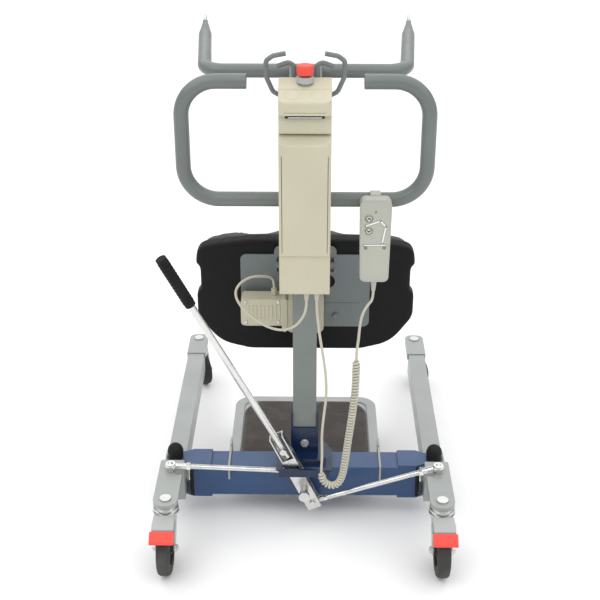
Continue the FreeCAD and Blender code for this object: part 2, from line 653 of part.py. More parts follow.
def build_tie_rod(side, name):
    """A rod end on the leg's ball stud, a shank, and an eye on the lever's pin."""
    reach = math.radians(dim("lever_tilt"))
    pin = dim("lever_pin")
    stud = Vector(dim("leg_x") * side, dim("stud_y"), dim("ball_z"))
    middle_z = (math.cos(reach) + 1) / 2 * pin
    eye_at = Vector(side * pin * math.sin(reach), dim("lever_y"), dim("lever_z") - side * middle_z)
    run = eye_at - stud
    along = Vector(run).normalize()
    turn = FreeCAD.Rotation(Vector(0, 0, 1), along)

    def section(start, radius, length):
        piece = Part.makeCylinder(radius, length)
        piece.Placement = FreeCAD.Placement(stud + along * start, turn)
        return piece

    def hexagon(start, size, length):
        corners = [Vector(size * math.cos(k * math.pi / 3), size * math.sin(k * math.pi / 3), 0)
                   for k in range(7)]
        piece = Part.Face(Part.makePolygon(corners)).extrude(Vector(0, 0, length))
        piece.Placement = FreeCAD.Placement(stud + along * start, turn)
        return piece

    socket_radius = dim("ball_radius") + 4
    housing = Part.makeSphere(socket_radius, stud)
    slab = Part.makeBox(60, 60, 13, stud - Vector(30, 30, 6.5))
    housing = housing.common(slab)
    rod_radius = dim("rod_radius")
    eye = Part.makeCylinder(dim("rod_eye"), dim("rod_eye_thick"),
                            eye_at - Vector(0, dim("rod_eye_thick") / 2, 0), Vector(0, 1, 0))
    shank_end = run.Length - dim("rod_eye") + 3
    shape = housing.fuse([section(socket_radius - 3, rod_radius + 1.5, 27),
                          hexagon(socket_radius + 24, rod_radius + 4, 9),
                          section(socket_radius + 33, rod_radius, shank_end - socket_radius - 33),
                          hexagon(shank_end - 30, rod_radius + 2, 8), eye])
    cavity = Part.makeSphere(dim("ball_radius") + 0.3, stud)
    relief = Part.makeCone(dim("ball_radius") - 2, dim("ball_radius") + 3, 8,
                           stud - Vector(0, 0, 2), Vector(0, 0, -1))
    bore = Part.makeCylinder(dim("rod_pin") + dim("rod_eye_gap"), 40,
                             eye_at - Vector(0, 20, 0), Vector(0, 1, 0))
    node(f"tie_rod_{name}", solid_feature("TieRod", shape.cut([cavity, relief, bore])))


# ------------------------------------------------------------------------------ casters
def caster_fork(x, y, top, race, gap, radius, trail, width):
    """Swivel head and two fork legs; the wheel trails behind the swivel, towards -Y."""
    crown = top - 22
    parts = [cylinder("z", (x, y, crown), race, 5),
             cylinder("z", (x, y, crown + 5), race - 4, 5),
             cylinder("z", (x, y, crown + 10), race - 1, 5),
             cylinder("z", (x, y, crown + 15), race - 5, 6.7)]
    outline = [(y + race * 0.7, crown + 4, 3), (y - race * 0.8, crown + 4, 3),
               (y - trail - 11, radius + 2, 6), (y - trail - 9, radius - 11, 8),
               (y - trail + 9, radius - 11, 8), (y + race * 0.3, crown - 14, 10)]
    for offset in (-gap / 2 - dim("fork_sheet"), gap / 2):
        parts.append(padded("ForkLeg", "YZ_Plane", outline, "fork_sheet", x + offset))
    bridge = box((x - gap / 2 - dim("fork_sheet"), y - race * 0.8, crown),
                 (gap + 2 * dim("fork_sheet"), race * 1.5, 4))
    axle = cylinder("x", (x - width / 2, y - trail, radius), "axle_radius", width)
    nuts = [cylinder("x", (start, y - trail, radius), "axle_radius + 4", 5)
            for start in (x - gap / 2 - 8, x + gap / 2 + 3)]
    return fuse(*parts, bridge, axle, *nuts)


def wheel(x, y, z, radius, tread, hub):
    """A tyre with a rounded tread and the hub it is bonded to."""
    blank = cylinder("x", (x - tread / 2, y, z), radius, tread)
    rounded = rounded_edges(blank, {2: tread * 0.28, 3: tread * 0.28})
    room = cylinder("x", (x - tread, y, z), hub, 2 * tread)
    tyre = cut(rounded, room)
    disc = cylinder("x", (x - tread / 2 + 1, y, z), hub, tread - 2)
    dishes = [cut(cylinder("x", (start, y, z), hub - 6, 8),
                  cylinder("x", (start - 1, y, z), 14, 10))
              for start in (x - tread / 2 - 2, x + tread / 2 - 6)]
    boss = cylinder("x", (x - tread / 2 - 3, y, z), 11, tread + 6)
    bore = cylinder("x", (x - tread, y, z), "axle_radius + pivot_gap", 2 * tread)
    return tyre, cut(fuse(cut(disc, *dishes), boss), bore)


def build_rear_caster(side, name):
    x = dim("leg_x") * side
    y = dim("rear_swivel_y")
    top = dim("plate_bottom")
    radius = dim("rear_radius")
    trail = dim("rear_trail")
    fork = caster_fork(x, y, top, dim("rear_race"), dim("rear_gap"), radius, trail,
                       dim("rear_gap") + 20)
    stem = cylinder("z", (x, y, top - 10), 6, "plate_thick + 11")
    head = cylinder("z", (x, y, "plate_bottom + plate_thick + 0.3"), "swivel_head", 4)
    node(f"rear_caster_fork_{name}", fuse(fork, stem, head))
    tyre, hub = wheel(x, y - trail, radius, radius, dim("rear_tread"), 45)
    node(f"rear_tyre_{name}", tyre)
    node(f"rear_hub_{name}", hub)
    rear = y - trail
    hinge = rear - 41.5
    cover = [(y - 31, 143, 2), (rear - 34, 139, 4), (rear - 36, 126, 2), (rear - 10, 128, 6),
             (y - 31, 134, 2)]
    lid = padded("BrakeCover", "YZ_Plane", cover, 48, x - 24)
    cheeks = [box((start, rear - 14, 118), (3, 22, 14)) for start in (x - 26.3, x + 23.3)]
    knuckle = cylinder("x", (x - 8, hinge, "pedal_z"), 4.5, 16)
    lug = box((x - 8, hinge, "pedal_z - 2"), (16, 8, 6))
    rod = cylinder("x", (x - 25, hinge, "pedal_z"), "pedal_rod", 50)
    node(f"brake_cover_{name}", fuse(lid, *cheeks, knuckle, lug, rod))
    tread = [(rear - 39, 138.5, 1), (rear - 48, 135, 8), (rear - 62, 124, 4),
             (rear - 62, 115, 3), (hinge, 124, 1)]
    sheet_metal = padded("BrakePedal", "YZ_Plane", tread, 54, x - 27)
    barrel = cylinder("x", (x - 27, hinge, "pedal_z"), 4.5, 54)
    notch = box((x - 9, rear - 46.6, 112), (18, 17, 21.2))
    bore = cylinder("x", (x - 26, hinge, "pedal_z"), "pedal_rod + pivot_gap", 52)
    node(f"brake_pedal_{name}", cut(fuse(sheet_metal, barrel), notch, bore))


def build_front_caster(side, name):
    x = dim("leg_x") * side
    y = dim("front_swivel_y")
    top = dim("leg_top")
    radius = dim("front_radius")
    trail = dim("front_trail")
    fork = caster_fork(x, y, top - 0.5, dim("front_race"), dim("front_gap"), radius, trail,
                       dim("front_gap") + 18)
    stem = cylinder("z", (x, y, top - 4), 5, "toe_sheet + 6")
    head = cylinder("z", (x, y, "leg_top + toe_sheet + 0.3"), "swivel_head", 3.5)
    tyre, hub = wheel(x, y - trail, radius, radius, dim("front_tread"), 30)
    centre = Vector(x, y, 0)
    yaw = dim("front_yaw")
    upright = Vector(0, 0, 1)
    node(f"front_caster_fork_{name}", turned(fuse(fork, stem, head), centre, upright, yaw))
    node(f"front_wheel_{name}", turned(group(tyre, hub), centre, upright, yaw))


# ------------------------------------------------------------------- boom and actuator
def ram_top():
    """Where the actuator's eye is pinned to the boom, as Y and Z."""
    angle = math.radians(dim("ram_phase"))
    return (dim("mast_y") + dim("ram_lever") * math.cos(angle),
            dim("boom_pivot_z") - dim("ram_lever") * math.sin(angle))


def build_boom():
    """A U of tube that reaches forward either side of the patient."""
    y = dim("boom_y")
    z = dim("boom_z")
    half = dim("boom_half")
    tip_y = y + dim("boom_reach")
    spread = half + dim("boom_spread")
    rise = dim("boom_rise")
    route = [Vector(-spread, tip_y, z + rise), Vector(-half, y, z), Vector(half, y, z),
             Vector(spread, tip_y, z + rise)]
    radius = dim("boom_radius")
    bar = solid_feature("BoomBar", tube_along(bent_path(route, [dim("boom_bend")] * 2), radius,
                                              radius - dim("tube_wall")))
    tips = []
    for side, _ in SIDES:
        end = Vector(side * spread, tip_y, z + rise)
        away = (end - Vector(side * half, y, z)).normalize()
        tips.append(solid_feature("BoomTip", Part.makeCone(radius, 7, 90, end - away * 2, away)))
    pin_y, pin_z = ram_top()
    pivot_y = dim("mast_y")
    pivot_z = dim("boom_pivot_z")
    outline = [(pivot_y - 19, pivot_z - 4, 17), (pivot_y - 14, pivot_z + 19, 12),
               (y + 2, z + 22, 14), (y + 20, z + 4, 12), (pin_y + 18, pin_z + 6, 8),
               (pin_y + 16, pin_z - 15, 10), (pin_y - 14, pin_z - 15, 10),
               (pivot_y + 8, pivot_z - 19, 14)]
    cheeks = [padded("BoomCheek", "YZ_Plane", outline, "cheek_sheet", start,
                     [(pivot_y, pivot_z, dim("boom_pin") + dim("pivot_gap")),
                      (pin_y, pin_z, dim("ram_pin"))])
              for start in ("-cheek_in - cheek_sheet", "cheek_in")]
    node("boom", fuse(bar, *cheeks, *tips))
    hooks = []
    for side, _ in SIDES:
        end = Vector(side * spread, tip_y, z + rise)
        away = (end - Vector(side * half, y, z)).normalize()
        start = end + away * 88
        stem = Part.makeCylinder(4, 34, start, away)
        collar = Part.makeCylinder(6.5, 8, start + away * 12, away)
        ring_at = start + away * 42
        ring = Part.makeTorus(9, 3, ring_at, Vector(1, 0, 0))
        hooks.append(stem.fuse([collar, ring]))
    node("sling_hooks", solid_feature("SlingHooks", Part.makeCompound(hooks)))
    pin = cylinder("x", (-38, pin_y, pin_z), "ram_pin", 76)
    heads = [cylinder("x", (start, pin_y, pin_z), "ram_pin + 4", 3.5) for start in (-38, 34.6)]
    node("actuator_upper_pin", fuse(pin, *heads))


def build_actuator():
    """Gear housing with its crosswise motor, guide tube, and the piston that lifts."""
    low = dim("ram_low")
    base = low + 27
    rear = "ram_y - ram_depth / 2"
    gear = padded("GearHousing", "XZ_Plane", rectangle(-43, base, 43, base + 87, 14),
                  "ram_depth", rear)
    motor = padded("MotorHousing", "XZ_Plane",
                   rectangle(-149, base + 18, -46, base + 86, 9), "ram_depth", rear)
    rim = padded("MotorRim", "XZ_Plane", rectangle(-54, base + 2, -41, base + 89, 8),
                 "ram_depth + 3", rear + " - 1.5")
    tail = box((-10, "ram_y - 13", "ram_low - 14"), (20, 26, 45))
    hole = cylinder("x", (-30, "ram_y", "ram_low"), "ram_pin + pivot_gap", 60)
    plug = cylinder("z", ("plug_x", "plug_y", base + 84), 7, 19)
    node("actuator_housing", cut(fuse(gear, motor, rim, tail, plug), hole))
    start = base + 87
    sleeve = cylinder("z", (0, "ram_y", start), 20, 300)
    room = cylinder("z", (0, "ram_y", start + 6), 14.3, 300)
    node("actuator_tube", cut(sleeve, room))
    eye_y, eye_z = ram_top()
    foot = start + 30  # 24 mm above the sleeve's floor, more than the stroke below rest
    rod = cylinder("z", (0, "ram_y", foot), 14, eye_z - 12 - foot)
    neck = box((-10, "ram_y - 13", eye_z - 14), (20, 26, 12))
    head = cylinder("x", (-10, "ram_y", eye_z), "ram_eye", 20)
    bore = cylinder("x", (-20, "ram_y", eye_z), "ram_eye_bore", 40)
    node("actuator_piston", cut(fuse(rod, neck, head), bore))


# ----------------------------------------------------------------------------- knee pad
def build_knee_pad():
    arms = [box((x, "mast_y - 10", 606), (5, "knee_y - mast_y + 10", 40))
            for x in ("-mast_width / 2 - 5", "mast_width / 2")]
    tab = padded("KneeBracket", "XZ_Plane", rectangle(-72, 588, 72, 657, 14), 5, "knee_y - 5")
    slots = []
    for x in (-62, 62):
        slots.append(box((x - 4.2, "knee_y - 8", "612 - knee_travel"),
                         (8.4, 12, "2 * knee_travel")))
        slots += [cylinder("y", (x, "knee_y - 8", z), 4.2, 12)
                  for z in ("612 - knee_travel", "612 + knee_travel")]
    node("knee_bracket", cut(fuse(tab, *arms), *slots))
    low = dim("plate_low")
    high = dim("plate_high")
    half = dim("plate_half")
    plate = padded("KneePlate", "XZ_Plane", rectangle(-half, low, half, high, 14), 4,
                   "knee_y + 0.3", [(52, 566, 17)])
    rib = box((-half + 24, "knee_y - 0.9", 508), (2 * half - 48, 1.6, 2.4))
    studs = [hex_bolt("y", (x, "knee_y - 5.3", 612), 4, 6, -1) for x in (-62, 62)]
    bolts = [hex_bolt("y", (x, "knee_y + 0.3", z), 4, 4, -1) for x, z in ((52, 535), (72, 477))]
    node("knee_plate", fuse(plate, rib, *studs, *bolts))
    node("knee_shell", knee_shell())
    node("knee_cushion", knee_cushion())


def knee_outline(inset=0):
    """Right half from the bottom centre up: rounded lower lobe, side notch, upper lobe."""
    right = [(130, 381, 60), (205, 400, 90), (256, 470, 40), (256, 532, 5), (246, 536, 5),
             (246, 600, 5), (256, 604, 5), (253, 649, 30), (205, 658, 40), (126, 668, 60)]
    grow = [(u - inset, v, r) for u, v, r in right]
    return grow + [(-u, v, r) for u, v, r in reversed(grow)]


def knee_shell():
    body = padded("KneeShell", "XZ_Plane", knee_outline(), "shell_depth", "knee_y + 4.3")
    doc.recompute()
    face_y = dim("knee_y") + 4.3
    rear = [index for index, edge in enumerate(body.Shape.Edges, start=1)
            if all(abs(v.Point.y - face_y) < 1e-3 for v in edge.Vertexes)]
    return rounded_edges(body, {index: 4 for index in rear})


def knee_cushion():
    """Two hollows for the shins, cut across the front of a closed block."""
    start = "knee_y + shell_depth + 4.3"
    block = padded("KneeCushion", "XZ_Plane", knee_outline(8), "pad_depth", start)
    hollows = [cylinder("z", (x, "knee_y + shell_depth + pad_depth + 52", 330), 68, 400)
               for x in (-112, 112)]
    return cut(block, *hollows)


# ---------------------------------------------------------------------------- footplate
def build_footplate():
    half = dim("foot_half")
    front = dim("foot_front")
    rear = dim("foot_rear")
    bar = dim("foot_bar")
    corner = dim("foot_corner")
    outline = [(-half, rear, 6), (half, rear, 6), (half, front, corner), (-half, front, corner)]
    inside = [(-half + bar, rear + bar, 0), (half - bar, rear + bar, 0),
              (half - bar, front - bar, corner - bar + 4),
              (-half + bar, front - bar, corner - bar + 4)]
    frame = padded("FootFrame", "XY_Plane", outline, "foot_bar", "foot_top - foot_bar")
    opening = padded("FootWell", "XY_Plane", inside, "foot_bar", "foot_top - 3")
    underside = padded("FootUnder", "XY_Plane", inside, "foot_bar - 6", "foot_top - foot_bar - 1")
    straps = []
    for side, _ in SIDES:
        x = side * (half - 3) - (5 if side > 0 else 0)
        straps += [box((x, "foot_rear - 4", "foot_top - foot_bar"), (5, 30, 72)),
                   box((x, "beam_y - beam_depth / 2 - 5.5", "beam_top + 0.5"),
                       (5, "beam_depth + 30", 5)),
                   box((x, "beam_y - beam_depth / 2 - 5.5", "beam_top - 33"), (5, 5, 34))]
    node("footplate_frame", fuse(cut(frame, opening, underside), *straps))
    mats = []
    for side, _ in SIDES:
        inner = 4
        outer = half - bar - 3
        points = [(side * inner, rear + bar + 3, 2), (side * outer, rear + bar + 3, 6),
                  (side * outer, front - bar - 3, 64), (side * inner, front - bar - 3, 64)]
        if side < 0:
            points.reverse()
        mats.append(padded("FootMat", "XY_Plane", points, "mat_thick", "foot_top - 3"))
    node("footplate_mats", group(*mats))


# ------------------------------------------------------------------------------ handset
def build_handset():
    x = dim("handset_x")
    top = dim("handset_top")
    low = top - dim("handset_length")
    half = dim("handset_width") / 2
    outline = [(x - half + 3, low, 12), (x + half - 3, low, 12), (x + half, top, 14),
               (x - half, top, 14)]
    shell = padded("HandsetShell", "XZ_Plane", outline, "handset_depth", "handset_y")
    relief = cone("z", (x, "handset_y + handset_depth / 2", low - 28), 4.2, 7.5, 29)
    hook_y = dim("handle_y")
    outer = cylinder("x", (x - 11, hook_y, "handle_bottom"), "handle_radius + 3.5", 22)
    arm = box((x - 11, "handset_y + handset_depth - 1", "handle_bottom - 10"),
              (22, "handle_y - handset_y - handset_depth", "handle_radius + 13.5"))
    room = cylinder("x", (x - 30, hook_y, "handle_bottom"), "handle_radius + 0.5", 60)
    below = box((x - 30, hook_y - 17, "handle_bottom - 60"), (60, 60, 60))
    key_x = x - 14
    wells = [cylinder("y", (key_x, "handset_y - 1", z), 8.8, 6) for z in (top - 42, top - 70)]
    body = cut(fuse(shell, relief, outer, arm), room, below, *wells)
    node("handset", body)
    for label, z in (("up", top - 42), ("down", top - 70)):
        node(f"handset_button_{label}",
             cylinder("y", (key_x, "handset_y - 1.5", z), 8.4, 4.5))


# -------------------------------------------------------------------------------- cords
# Routes are hand-laid points from where each cord leaves a gland to its other end.
ACTUATOR_ROUTE = [(4, -255, 612), (4, -255, 592), (-4, -252, 566), (-22, -242, 538),
                  (-50, -226, 520), (-84, -206, 518), (-120, -186, 532), (-148, -168, 554),
                  (-160, -152, 576), (-150, -138, 594), (-126, -124, 604), (-100, -110, 600),
                  (-79, -98, 592),
                  (-72, -96, 580), (-72, -96, 562)]
STRAIGHT_ROUTE = [(26, -255, 612), (26, -255, 592), (30, -258, 552), (36, -261, 508),
                  (44, -265, 462), (49, -268, 416), (49, -270, 370), (44, -271, 324),
                  (40, -272, 278), (41, -274, 236), (41, -280, 208),
                  (40, -282, 196), (40, -282, 180)]
CURL_ROUTE = [(40, -282, 180), (40, -282, 160), (56, -284, 143), (76, -284, 144),
              (88, -283, 166), (94, -283, 206), (100, -281, 266), (108, -279, 330),
              (114, -276, 394), (115, -271, 450), (115, -271, 474)]
HANDSET_ROUTE = [(115, -271, 474), (115, -271, 492), (119, -264, 522), (121, -258, 550),
                 (126, -248, 574), (137, -237, 590), (150, -224, 598), (150, -224, 620)]


def build_cord(name, route, radius):
    points = [Vector(*point) for point in route]
    radii = []
    for index in range(1, len(points) - 1):
        back = points[index - 1] - points[index]
        ahead = points[index + 1] - points[index]
        half = back.getAngle(ahead) / 2
        radii.append(0.45 * min(back.Length, ahead.Length) * math.tan(half))
    path = bent_path(points, radii)
    shape = tube_along(path, radius)
    ideal = math.pi * radius ** 2 * path.Length
    print(f"{name}: length {path.Length:.0f}, radii {min(radii):.0f} to {max(radii):.0f}, "
          f"volume {shape.Volume / ideal:.4f} of section times length")
    node(name, solid_feature(name.title(), shape))


def build_glands():
    glands = []
    for route in (ACTUATOR_ROUTE, STRAIGHT_ROUTE):
        x, y, z = route[0]
        glands.append(cone("z", (x, y, z), 4.4, 6.5, f"box_bottom - {z}"))
    node("box_glands", group(*glands))


# ------------------------------------------------------------------------------- build
def build_all():
    build_crossbeam()
    build_pivot_hardware()
    build_socket_and_guide()
    build_mast()
    build_push_handle()
    build_sling_rods()
    build_control_box()
    build_battery()
    build_lever()
    for side, name in SIDES:
        build_leg(side, name)
        build_tie_rod(side, name)
        build_rear_caster(side, name)
        build_front_caster(side, name)
    build_boom()
    build_actuator()
    build_knee_pad()
    build_footplate()
    build_handset()
    build_glands()
    build_cord("actuator_cord", ACTUATOR_ROUTE, dim("cord_radius"))
    build_cord("handset_cord_lower", STRAIGHT_ROUTE, dim("cord_radius"))
    build_cord("handset_cord_curl", CURL_ROUTE, dim("curl_radius"))
    build_cord("handset_cord_upper", HANDSET_ROUTE, dim("cord_radius"))


def check_and_write():
    doc.recompute()
    for item in doc.Objects:
        if "Invalid" in item.State or "Error" in item.State:
            raise RuntimeError(f"{item.Name} ({item.Label}) failed: {item.State}")
    os.makedirs("parts", exist_ok=True)
    for name, item in NODES.items():
        shape = item.Shape
        if shape.isNull() or not shape.isValid() or not shape.Solids:
            raise RuntimeError(f"{name} has no valid solid")
        shape.exportStep(f"parts/{name}.step")
    print(f"{len(NODES)} sub-parts written")


build_all()
check_and_write()
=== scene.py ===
"""Studio scene of a sit-to-stand patient lift, built round its CAD frame, in metres."""

import math

import bmesh
import bpy
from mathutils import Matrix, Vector


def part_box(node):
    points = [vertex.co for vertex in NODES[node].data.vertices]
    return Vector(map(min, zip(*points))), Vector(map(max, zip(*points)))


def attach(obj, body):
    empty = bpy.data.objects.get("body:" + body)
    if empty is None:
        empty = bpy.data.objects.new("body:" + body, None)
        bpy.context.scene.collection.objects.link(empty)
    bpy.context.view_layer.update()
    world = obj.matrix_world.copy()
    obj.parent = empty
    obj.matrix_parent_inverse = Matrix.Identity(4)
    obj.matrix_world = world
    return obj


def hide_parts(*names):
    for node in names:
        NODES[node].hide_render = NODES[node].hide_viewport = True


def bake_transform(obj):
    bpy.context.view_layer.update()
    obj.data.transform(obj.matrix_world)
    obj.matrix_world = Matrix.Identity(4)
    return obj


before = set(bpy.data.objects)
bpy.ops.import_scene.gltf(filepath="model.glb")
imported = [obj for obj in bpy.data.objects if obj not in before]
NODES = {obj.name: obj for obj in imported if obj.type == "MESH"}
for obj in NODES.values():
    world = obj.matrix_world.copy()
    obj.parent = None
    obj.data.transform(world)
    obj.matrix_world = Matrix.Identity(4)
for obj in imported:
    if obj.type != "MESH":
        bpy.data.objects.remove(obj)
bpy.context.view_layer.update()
SCENE = bpy.context.scene
SIDES = ((-1, "left"), (1, "right"))


# ------------------------------------------------------------------ camera and light
def make_camera():
    data = bpy.data.cameras.new("camera")
    data.lens = 69.0
    data.sensor_width = 36.0
    camera = bpy.data.objects.new("camera", data)
    camera.location = (0.018, -2.490, 1.731)
    camera.rotation_euler = (math.radians(90 - 26.6), 0.0, math.radians(0.72))
    SCENE.collection.objects.link(camera)
    SCENE.camera = camera


def make_light(name, place, aim, size, watts):
    data = bpy.data.lights.new(name, "AREA")
    data.shape = "RECTANGLE"
    data.size, data.size_y = size
    data.energy = watts
    light = bpy.data.objects.new(name, data)
    light.location = place
    light.rotation_euler = (Vector(aim) - Vector(place)).to_track_quat("-Z", "Y").to_euler()
    SCENE.collection.objects.link(light)


def make_world():
    world = bpy.data.worlds.new("studio")
    world.use_nodes = True
    background = world.node_tree.nodes["Background"]
    background.inputs["Color"].default_value = (1.0, 1.0, 1.0, 1.0)
    background.inputs["Strength"].default_value = 0.55
    SCENE.world = world
    SCENE.view_settings.view_transform = "Standard"


def make_floor():
    bpy.ops.mesh.primitive_grid_add(x_subdivisions=4, y_subdivisions=4, size=60.0)
    floor = bpy.context.object
    floor.name = "floor"
    surface = bpy.data.materials.new("floor")
    surface.use_nodes = True
    shader = surface.node_tree.nodes["Principled BSDF"]
    shader.inputs["Base Color"].default_value = (0.90, 0.90, 0.90, 1.0)
    shader.inputs["Roughness"].default_value = 0.6
    floor.data.materials.append(surface)


# -------------------------------------------------------------------------- materials
class Nodes:
    """A material's node tree with short ways to add and join nodes."""

    def __init__(self, name):
        self.material = bpy.data.materials.new(name)
        self.material.use_nodes = True
        self.tree = self.material.node_tree
        self.shader = self.tree.nodes["Principled BSDF"]
        self.place = self.add("ShaderNodeTexCoord").outputs["Object"]

    def add(self, kind, **values):
        node = self.tree.nodes.new(kind)
        for key, value in values.items():
            setattr(node, key, value)
        return node

    def join(self, source, node, socket):
        self.tree.links.new(source, node.inputs[socket])

    def noise(self, scale, detail=3.0, stretch=None):
        node = self.add("ShaderNodeTexNoise")
        node.inputs["Scale"].default_value = scale
        node.inputs["Detail"].default_value = detail
        if stretch is None:
            self.join(self.place, node, "Vector")
        else:
            mapping = self.add("ShaderNodeMapping")
            mapping.inputs["Scale"].default_value = stretch
            self.join(self.place, mapping, "Vector")
            self.join(mapping.outputs["Vector"], node, "Vector")
        return node.outputs["Fac"]

    def ramp(self, source, low, high, first, last):
        node = self.add("ShaderNodeMapRange")
        node.inputs["From Min"].default_value = low
        node.inputs["From Max"].default_value = high
        node.inputs["To Min"].default_value = first
        node.inputs["To Max"].default_value = last
        self.join(source, node, "Value")
        return node.outputs["Result"]

    def times(self, one, two):
        node = self.add("ShaderNodeMath", operation="MULTIPLY")
        self.join(one, node, 0)
        self.join(two, node, 1)
        return node.outputs[0]

    def mixed(self, factor, one, two):
        """Colour one where factor is 0 and two where it is 1; each a colour or a socket."""
        node = self.add("ShaderNodeMix", data_type="RGBA")
        self.join(factor, node, 0)
        for index, colour in ((6, one), (7, two)):
            if isinstance(colour, tuple):
                node.inputs[index].default_value = (*colour, 1.0)
            else:
                self.join(colour, node, index)
        return node.outputs[2]

    def edges(self, radius):
        """A mask that is 1 on edges and 0 on flats, and the normal that rounds them."""
        bevel = self.add("ShaderNodeBevel", samples=4)
        bevel.inputs["Radius"].default_value = radius
        geometry = self.add("ShaderNodeNewGeometry")
        dot = self.add("ShaderNodeVectorMath", operation="DOT_PRODUCT")
        self.join(bevel.outputs["Normal"], dot, 0)
        self.join(geometry.outputs["Normal"], dot, 1)
        return self.ramp(dot.outputs["Value"], 0.97, 0.75, 0.0, 1.0), bevel.outputs["Normal"]

    def bump(self, height, strength, distance, normal):
        node = self.add("ShaderNodeBump")
        node.inputs["Strength"].default_value = strength
        node.inputs["Distance"].default_value = distance
        self.join(height, node, "Height")
        self.join(normal, node, "Normal")
        return node.outputs["Normal"]

    def finish(self, colour, roughness, normal, metallic=0.0, coat=0.0, specular=0.5):
        self.join(colour, self.shader, "Base Color")
        self.join(roughness, self.shader, "Roughness")
        self.join(normal, self.shader, "Normal")
        self.shader.inputs["Metallic"].default_value = metallic
        self.shader.inputs["Coat Weight"].default_value = coat
        self.shader.inputs["Coat Roughness"].default_value = 0.12
        self.shader.inputs["Specular IOR Level"].default_value = specular
        return self.material


def shade(colour, amount):
    return tuple(min(1.0, channel * amount) for channel in colour)


def paint(name, colour, rough, coat):
    """Powder coat: orange peel, faint clouds and specks, paler where edges are worn."""
    n = Nodes(name)
    edge, rounded = n.edges(0.0015)
    cloudy = n.ramp(n.noise(9.0, 5.0), 0.35, 0.7, 0.0, 1.0)
    base = n.mixed(cloudy, shade(colour, 0.93), shade(colour, 1.05))
    specks = n.ramp(n.noise(900.0, 2.0), 0.66, 0.72, 0.0, 0.5)
    base = n.mixed(specks, base, shade(colour, 1.3))
    worn = n.times(edge, n.ramp(n.noise(120.0, 4.0), 0.45, 0.62, 0.0, 0.55))
    base = n.mixed(worn, base, shade(colour, 1.5))
    roughness = n.ramp(n.noise(30.0, 5.0), 0.3, 0.7, rough - 0.06, rough + 0.08)
    peel = n.bump(n.noise(420.0, 2.0), 0.10, 0.0006, rounded)
    return n.finish(base, roughness, peel, 0.0, coat, 0.4)


def plated(name, colour, rough, streak):
    """Zinc or chrome plate: cloudy passivation, drawn streaks, and a painted highlight that
    brightens the edges.
    """
    n = Nodes(name)
    edge, rounded = n.edges(0.0008)
    cloudy = n.ramp(n.noise(38.0, 4.0), 0.30, 0.75, 0.0, 1.0)
    base = n.mixed(cloudy, shade(colour, 0.91), shade(colour, 1.04))
    warm = n.ramp(n.noise(15.0, 3.0), 0.5, 0.75, 0.0, 0.22)
    base = n.mixed(warm, base, (colour[0] * 1.03, colour[1] * 0.99, colour[2] * 0.88))
    # Painted highlight: the edges are brightened in the cloudy patches.
    base = n.mixed(n.times(edge, cloudy), base, shade(colour, 1.15))
    lines = n.noise(160.0, 3.0, (1.0, 1.0, streak))
    roughness = n.ramp(lines, 0.3, 0.7, rough - 0.06, rough + 0.10)
    fine = n.bump(lines, 0.07, 0.0002, rounded)
    return n.finish(base, roughness, fine, 1.0)


def moulded(name, colour, rough, grain, relief, edge_highlight_gain, radius=0.0015, specular=0.4):
    """Moulded plastic: spark-eroded grain, faint flow clouds, grime, and a painted highlight that
    pales the edges.
    """
    n = Nodes(name)
    edge, rounded = n.edges(radius)
    cloudy = n.ramp(n.noise(7.0, 4.0), 0.35, 0.7, 0.0, 1.0)
    base = n.mixed(cloudy, shade(colour, 0.96), shade(colour, 1.03))
    grime = n.ramp(n.noise(45.0, 8.0), 0.60, 0.82, 0.0, 0.22)
    base = n.mixed(grime, base, shade(colour, 0.8))
    # Painted highlight: the edges are lightened by the edge gain.
    base = n.mixed(edge, base, shade(colour, edge_highlight_gain))
    roughness = n.ramp(n.noise(60.0, 4.0), 0.3, 0.7, rough - 0.05, rough + 0.07)
    grained = n.bump(n.noise(grain, 2.0), relief, 0.0005, rounded)
    return n.finish(base, roughness, grained, specular=specular)


def rubber(name, colour, rough, scuff):
    """Rubber: dusty scuffs over a matt black, with a coarse mould texture."""
    n = Nodes(name)
    edge, rounded = n.edges(0.0012)
    dust = n.ramp(n.noise(24.0, 8.0), 0.45, 0.78, 0.0, scuff)
    base = n.mixed(dust, colour, shade(colour, 4.5))
    base = n.mixed(n.times(edge, dust), base, shade(colour, 6.0))
    roughness = n.ramp(n.noise(80.0, 4.0), 0.3, 0.7, rough - 0.08, rough + 0.06)
    texture = n.bump(n.noise(650.0, 3.0), 0.25, 0.0005, rounded)
    return n.finish(base, roughness, texture, specular=0.2)


def vinyl(name, colour):
    """Upholstery vinyl: pebbled grain with a soft sheen, and a painted highlight on the edges."""
    n = Nodes(name)
    edge, rounded = n.edges(0.002)
    cells = n.add("ShaderNodeTexVoronoi", feature="SMOOTH_F1")
    cells.inputs["Scale"].default_value = 420.0
    n.join(n.place, cells, "Vector")
    cloudy = n.ramp(n.noise(12.0, 5.0), 0.35, 0.7, 0.0, 1.0)
    base = n.mixed(cloudy, shade(colour, 0.85), shade(colour, 1.2))
    # Painted highlight: the edges are lightened.
    base = n.mixed(edge, base, shade(colour, 1.5))
    roughness = n.ramp(n.noise(50.0, 4.0), 0.3, 0.7, 0.42, 0.58)
    pebbled = n.bump(cells.outputs["Distance"], 0.35, 0.0008, rounded)
    n.shader.inputs["Sheen Weight"].default_value = 0.15
    return n.finish(base, roughness, pebbled)


BLUE = (0.022, 0.066, 0.172)
DEEP_BLUE = (0.0025, 0.015, 0.056)
SILVER = (0.330, 0.346, 0.336)
GREY = (0.150, 0.170, 0.165)
CREAM = (0.54, 0.515, 0.385)
ZINC = (0.66, 0.66, 0.65)
BLACK = (0.009, 0.009, 0.010)

